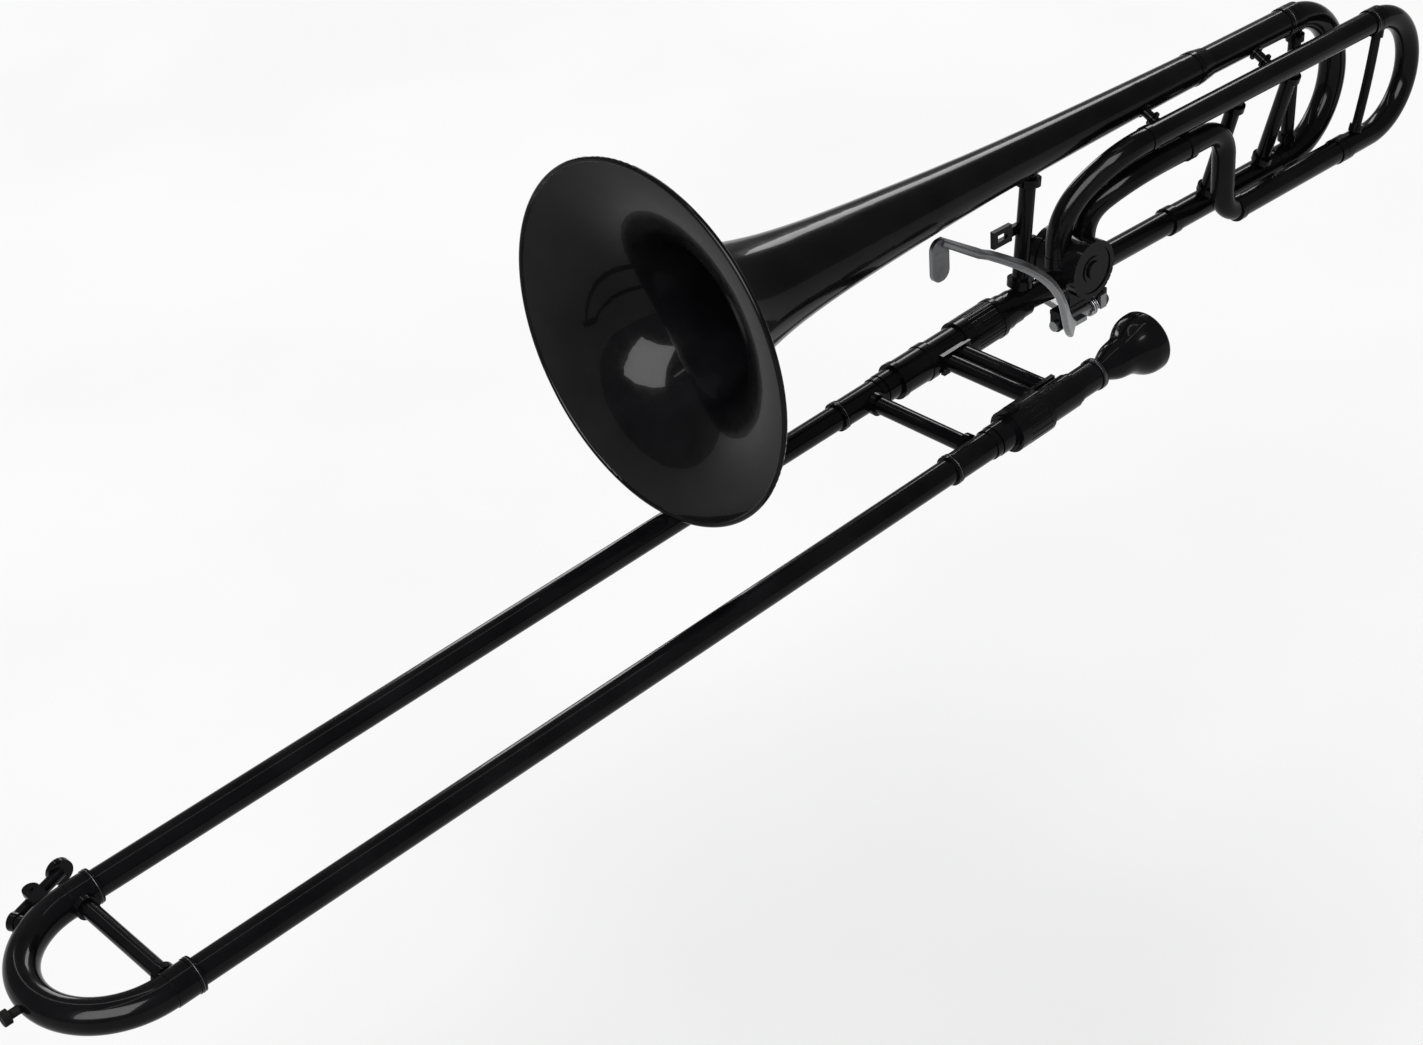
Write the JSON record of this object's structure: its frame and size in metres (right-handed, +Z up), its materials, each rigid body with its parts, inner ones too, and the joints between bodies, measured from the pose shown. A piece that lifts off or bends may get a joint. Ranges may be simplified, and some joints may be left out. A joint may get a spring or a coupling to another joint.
{
  "type": "trombone",
  "caption": "Tenor trombone with a rotary-valve F attachment: bell, hand slide, two tuning slides, thumb trigger, water key and removable mouthpiece.",
  "frame": {"origin": "centre of the bell lock, where the hand slide enters the bell section and the left hand closes round the neck", "axes": "+X from the bell-side slide tube to the mouthpiece-side slide tube; +Y along the bell away from its mouth, towards the tuning slides; +Z up, bell above the hand slide. The hand slide lies 3.3 degrees off Y, dropping towards its bow."},
  "size_m": [0.2199, 1.1439, 0.2605],
  "materials": {
    "black_lacquer": "gloss black lacquer over brass",
    "chrome_plate": "polished chrome plate",
    "raw_brass": "bare drawn brass",
    "satin_nickel": "satin nickel",
    "spring_steel": "spring wire",
    "cork_rubber": "black rubber"
  },
  "bodies": {
    "bell_section": {"bell_brace": "black_lacquer", "bell_flare": "black_lacquer", "bell_receiver": "black_lacquer", "bell_rim": "black_lacquer", "bell_stem": "black_lacquer", "bell_tail_ferrule": "black_lacquer", "bell_ties": "black_lacquer", "brace_loop": "black_lacquer", "cork_barrel_bell": "black_lacquer", "cork_barrel_mouth": "black_lacquer", "hand_brace": "black_lacquer", "inner_tube_bell": "chrome_plate", "inner_tube_mouth": "chrome_plate", "loop_braces": "black_lacquer", "loop_feed_tube": "black_lacquer", "loop_lower_leg": "black_lacquer", "loop_return_bow": "black_lacquer", "loop_return_tube": "black_lacquer", "loop_upper_leg": "black_lacquer", "lower_leg": "black_lacquer", "mouthpiece_receiver": "black_lacquer", "neckpipe": "black_lacquer", "slide_tenon": "black_lacquer", "stop_plate": "black_lacquer", "trigger_axle": "satin_nickel", "trigger_saddle": "black_lacquer", "trigger_spring": "spring_steel", "upper_leg": "black_lacquer", "valve_bearing_plate": "black_lacquer", "valve_cap": "black_lacquer", "valve_casing": "black_lacquer", "valve_outlet": "black_lacquer"},
    "valve_rotor": {"valve_rotor": "raw_brass", "stop_arm": "black_lacquer"},
    "drive_link": {"drive_link": "black_lacquer"},
    "trigger_lever": {"trigger_lever": "satin_nickel"},
    "main_tuning_slide": {"main_slide_crook": "black_lacquer", "main_slide_upper_leg": "raw_brass", "main_slide_lower_leg": "raw_brass", "main_slide_brace": "black_lacquer"},
    "loop_tuning_slide": {"loop_slide_crook": "black_lacquer", "loop_slide_upper_leg": "raw_brass", "loop_slide_lower_leg": "raw_brass", "loop_slide_brace": "black_lacquer"},
    "bell_lock_nut": {"bell_lock_nut": "black_lacquer"},
    "slide_lock_ring": {"slide_lock_ring": "black_lacquer"},
    "mouthpiece": {"mouthpiece": "black_lacquer"},
    "hand_slide": {"outer_tube_bell": "black_lacquer", "outer_tube_mouth": "black_lacquer", "hand_sleeve_bell": "black_lacquer", "hand_sleeve_mouth": "black_lacquer", "outer_brace": "black_lacquer", "bow_crook": "black_lacquer", "bow_brace": "black_lacquer", "bow_bumper": "cork_rubber", "water_key_post": "black_lacquer", "water_key_nipple": "black_lacquer"},
    "water_key": {"water_key_lever": "black_lacquer", "water_key_pad": "cork_rubber"}
  },
  "joints": [
    {"name": "hand_slide_travel", "type": "slide", "parent": "bell_section", "child": "hand_slide", "axis": [0, -0.9983, -0.0576], "range_m": [0, 0.55]},
    {"name": "main_tuning_travel", "type": "slide", "parent": "bell_section", "child": "main_tuning_slide", "axis": [0, 1, 0], "range_m": [0, 0.06]},
    {"name": "loop_tuning_travel", "type": "slide", "parent": "bell_section", "child": "loop_tuning_slide", "axis": [0, 1, 0], "range_m": [0, 0.06]},
    {"name": "trigger_press", "type": "hinge", "parent": "bell_section", "child": "trigger_lever", "pos_m": [0.007, 0.073, -0.0245], "axis": [0, -1, 0], "range_deg": [0, 18], "stiffness_Nm_per_rad": 0.5, "springref_deg": -20.05},
    {"name": "rotor_turn", "type": "hinge", "parent": "bell_section", "child": "valve_rotor", "pos_m": [0.003, 0.068, 0.0135], "axis": [1, 0, 0], "range_deg": [0, 90.5]},
    {"name": "link_travel", "type": "slide", "parent": "bell_section", "child": "drive_link", "axis": [0, 0, -1], "range_m": [0, 0.0104]},
    {"name": "lock_nut_turn", "type": "hinge", "parent": "bell_section", "child": "bell_lock_nut", "pos_m": [0, -0.01797, -0.00104], "axis": [0, 0.9983, 0.0576], "range_deg": [0, 360]},
    {"name": "lock_ring_turn", "type": "hinge", "parent": "bell_section", "child": "slide_lock_ring", "pos_m": [0.0915, -0.07488, -0.00432], "axis": [0, 0.9983, 0.0576], "range_deg": [0, 30]},
    {"name": "mouthpiece_pull", "type": "slide", "parent": "bell_section", "child": "mouthpiece", "axis": [0, 0.9983, 0.0576], "range_m": [0, 0.04]},
    {"name": "water_key_press", "type": "hinge", "parent": "hand_slide", "child": "water_key", "pos_m": [-0.0155, -0.68636, -0.03957], "axis": [0, 0.0576, -0.9983], "range_deg": [0, 14], "stiffness_Nm_per_rad": 0.05, "springref_deg": -28.65}
  ],
  "couplings": [
    {"joint": "rotor_turn", "follows": "trigger_press", "ratio": 5},
    {"joint": "link_travel", "follows": "trigger_press", "m_per_rad": 0.032566}
  ]
}
